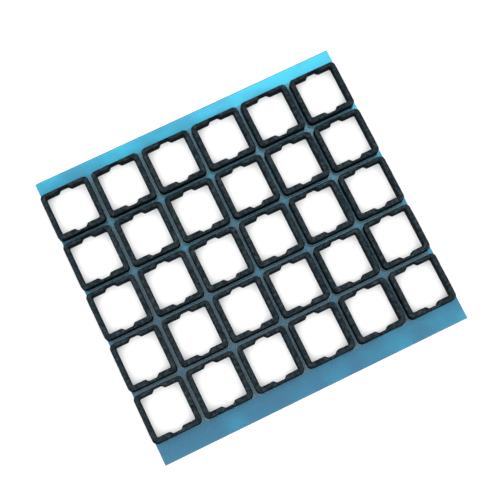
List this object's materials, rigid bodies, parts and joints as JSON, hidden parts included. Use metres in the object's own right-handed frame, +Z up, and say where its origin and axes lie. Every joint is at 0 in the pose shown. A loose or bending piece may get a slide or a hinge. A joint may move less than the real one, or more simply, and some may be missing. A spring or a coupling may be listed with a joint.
{
  "type": "foam pad sheet",
  "caption": "Sheet of die-cut adhesive foam rings with notched square windows, on a translucent release film from which each ring peels off.",
  "frame": {"origin": "centre of the sheet's bounding box, on the film's underside", "axes": "+X along the rows of six pads, +Y along the columns towards the narrow bare margin, +Z up from the film to the foam"},
  "size_m": [0.1136, 0.1066, 0.0036],
  "materials": {
    "foam": "matte open-skin microcellular foam, charcoal black",
    "film": "glossy translucent blue polyester film",
    "adhesive": "clear, slightly milky tacky acrylic under each pad"
  },
  "bodies": {
    "film": {"release_film": "film"},
    "pad_r1_c1": {"pad_r1_c1": "foam"},
    "pad_r1_c2": {"pad_r1_c2": "foam"},
    "pad_r1_c3": {"pad_r1_c3": "foam"},
    "pad_r1_c4": {"pad_r1_c4": "foam"},
    "pad_r1_c5": {"pad_r1_c5": "foam"},
    "pad_r1_c6": {"pad_r1_c6": "foam"},
    "pad_r2_c1": {"pad_r2_c1": "foam"},
    "pad_r2_c2": {"pad_r2_c2": "foam"},
    "pad_r2_c3": {"pad_r2_c3": "foam"},
    "pad_r2_c4": {"pad_r2_c4": "foam"},
    "pad_r2_c5": {"pad_r2_c5": "foam"},
    "pad_r2_c6": {"pad_r2_c6": "foam"},
    "pad_r3_c1": {"pad_r3_c1": "foam"},
    "pad_r3_c2": {"pad_r3_c2": "foam"},
    "pad_r3_c3": {"pad_r3_c3": "foam"},
    "pad_r3_c4": {"pad_r3_c4": "foam"},
    "pad_r3_c5": {"pad_r3_c5": "foam"},
    "pad_r3_c6": {"pad_r3_c6": "foam"},
    "pad_r4_c1": {"pad_r4_c1": "foam"},
    "pad_r4_c2": {"pad_r4_c2": "foam"},
    "pad_r4_c3": {"pad_r4_c3": "foam"},
    "pad_r4_c4": {"pad_r4_c4": "foam"},
    "pad_r4_c5": {"pad_r4_c5": "foam"},
    "pad_r4_c6": {"pad_r4_c6": "foam"},
    "pad_r5_c1": {"pad_r5_c1": "foam"},
    "pad_r5_c2": {"pad_r5_c2": "foam"},
    "pad_r5_c3": {"pad_r5_c3": "foam"},
    "pad_r5_c4": {"pad_r5_c4": "foam"},
    "pad_r5_c5": {"pad_r5_c5": "foam"},
    "pad_r5_c6": {"pad_r5_c6": "foam"}
  },
  "joints": [
    {"name": "peel_r1_c1", "type": "slide", "parent": "film", "child": "pad_r1_c1", "axis": [0, 0, 1], "range_m": [0, 0.02]},
    {"name": "peel_r1_c2", "type": "slide", "parent": "film", "child": "pad_r1_c2", "axis": [0, 0, 1], "range_m": [0, 0.02]},
    {"name": "peel_r1_c3", "type": "slide", "parent": "film", "child": "pad_r1_c3", "axis": [0, 0, 1], "range_m": [0, 0.02]},
    {"name": "peel_r1_c4", "type": "slide", "parent": "film", "child": "pad_r1_c4", "axis": [0, 0, 1], "range_m": [0, 0.02]},
    {"name": "peel_r1_c5", "type": "slide", "parent": "film", "child": "pad_r1_c5", "axis": [0, 0, 1], "range_m": [0, 0.02]},
    {"name": "peel_r1_c6", "type": "slide", "parent": "film", "child": "pad_r1_c6", "axis": [0, 0, 1], "range_m": [0, 0.02]},
    {"name": "peel_r2_c1", "type": "slide", "parent": "film", "child": "pad_r2_c1", "axis": [0, 0, 1], "range_m": [0, 0.02]},
    {"name": "peel_r2_c2", "type": "slide", "parent": "film", "child": "pad_r2_c2", "axis": [0, 0, 1], "range_m": [0, 0.02]},
    {"name": "peel_r2_c3", "type": "slide", "parent": "film", "child": "pad_r2_c3", "axis": [0, 0, 1], "range_m": [0, 0.02]},
    {"name": "peel_r2_c4", "type": "slide", "parent": "film", "child": "pad_r2_c4", "axis": [0, 0, 1], "range_m": [0, 0.02]},
    {"name": "peel_r2_c5", "type": "slide", "parent": "film", "child": "pad_r2_c5", "axis": [0, 0, 1], "range_m": [0, 0.02]},
    {"name": "peel_r2_c6", "type": "slide", "parent": "film", "child": "pad_r2_c6", "axis": [0, 0, 1], "range_m": [0, 0.02]},
    {"name": "peel_r3_c1", "type": "slide", "parent": "film", "child": "pad_r3_c1", "axis": [0, 0, 1], "range_m": [0, 0.02]},
    {"name": "peel_r3_c2", "type": "slide", "parent": "film", "child": "pad_r3_c2", "axis": [0, 0, 1], "range_m": [0, 0.02]},
    {"name": "peel_r3_c3", "type": "slide", "parent": "film", "child": "pad_r3_c3", "axis": [0, 0, 1], "range_m": [0, 0.02]},
    {"name": "peel_r3_c4", "type": "slide", "parent": "film", "child": "pad_r3_c4", "axis": [0, 0, 1], "range_m": [0, 0.02]},
    {"name": "peel_r3_c5", "type": "slide", "parent": "film", "child": "pad_r3_c5", "axis": [0, 0, 1], "range_m": [0, 0.02]},
    {"name": "peel_r3_c6", "type": "slide", "parent": "film", "child": "pad_r3_c6", "axis": [0, 0, 1], "range_m": [0, 0.02]},
    {"name": "peel_r4_c1", "type": "slide", "parent": "film", "child": "pad_r4_c1", "axis": [0, 0, 1], "range_m": [0, 0.02]},
    {"name": "peel_r4_c2", "type": "slide", "parent": "film", "child": "pad_r4_c2", "axis": [0, 0, 1], "range_m": [0, 0.02]},
    {"name": "peel_r4_c3", "type": "slide", "parent": "film", "child": "pad_r4_c3", "axis": [0, 0, 1], "range_m": [0, 0.02]},
    {"name": "peel_r4_c4", "type": "slide", "parent": "film", "child": "pad_r4_c4", "axis": [0, 0, 1], "range_m": [0, 0.02]},
    {"name": "peel_r4_c5", "type": "slide", "parent": "film", "child": "pad_r4_c5", "axis": [0, 0, 1], "range_m": [0, 0.02]},
    {"name": "peel_r4_c6", "type": "slide", "parent": "film", "child": "pad_r4_c6", "axis": [0, 0, 1], "range_m": [0, 0.02]},
    {"name": "peel_r5_c1", "type": "slide", "parent": "film", "child": "pad_r5_c1", "axis": [0, 0, 1], "range_m": [0, 0.02]},
    {"name": "peel_r5_c2", "type": "slide", "parent": "film", "child": "pad_r5_c2", "axis": [0, 0, 1], "range_m": [0, 0.02]},
    {"name": "peel_r5_c3", "type": "slide", "parent": "film", "child": "pad_r5_c3", "axis": [0, 0, 1], "range_m": [0, 0.02]},
    {"name": "peel_r5_c4", "type": "slide", "parent": "film", "child": "pad_r5_c4", "axis": [0, 0, 1], "range_m": [0, 0.02]},
    {"name": "peel_r5_c5", "type": "slide", "parent": "film", "child": "pad_r5_c5", "axis": [0, 0, 1], "range_m": [0, 0.02]},
    {"name": "peel_r5_c6", "type": "slide", "parent": "film", "child": "pad_r5_c6", "axis": [0, 0, 1], "range_m": [0, 0.02]}
  ]
}
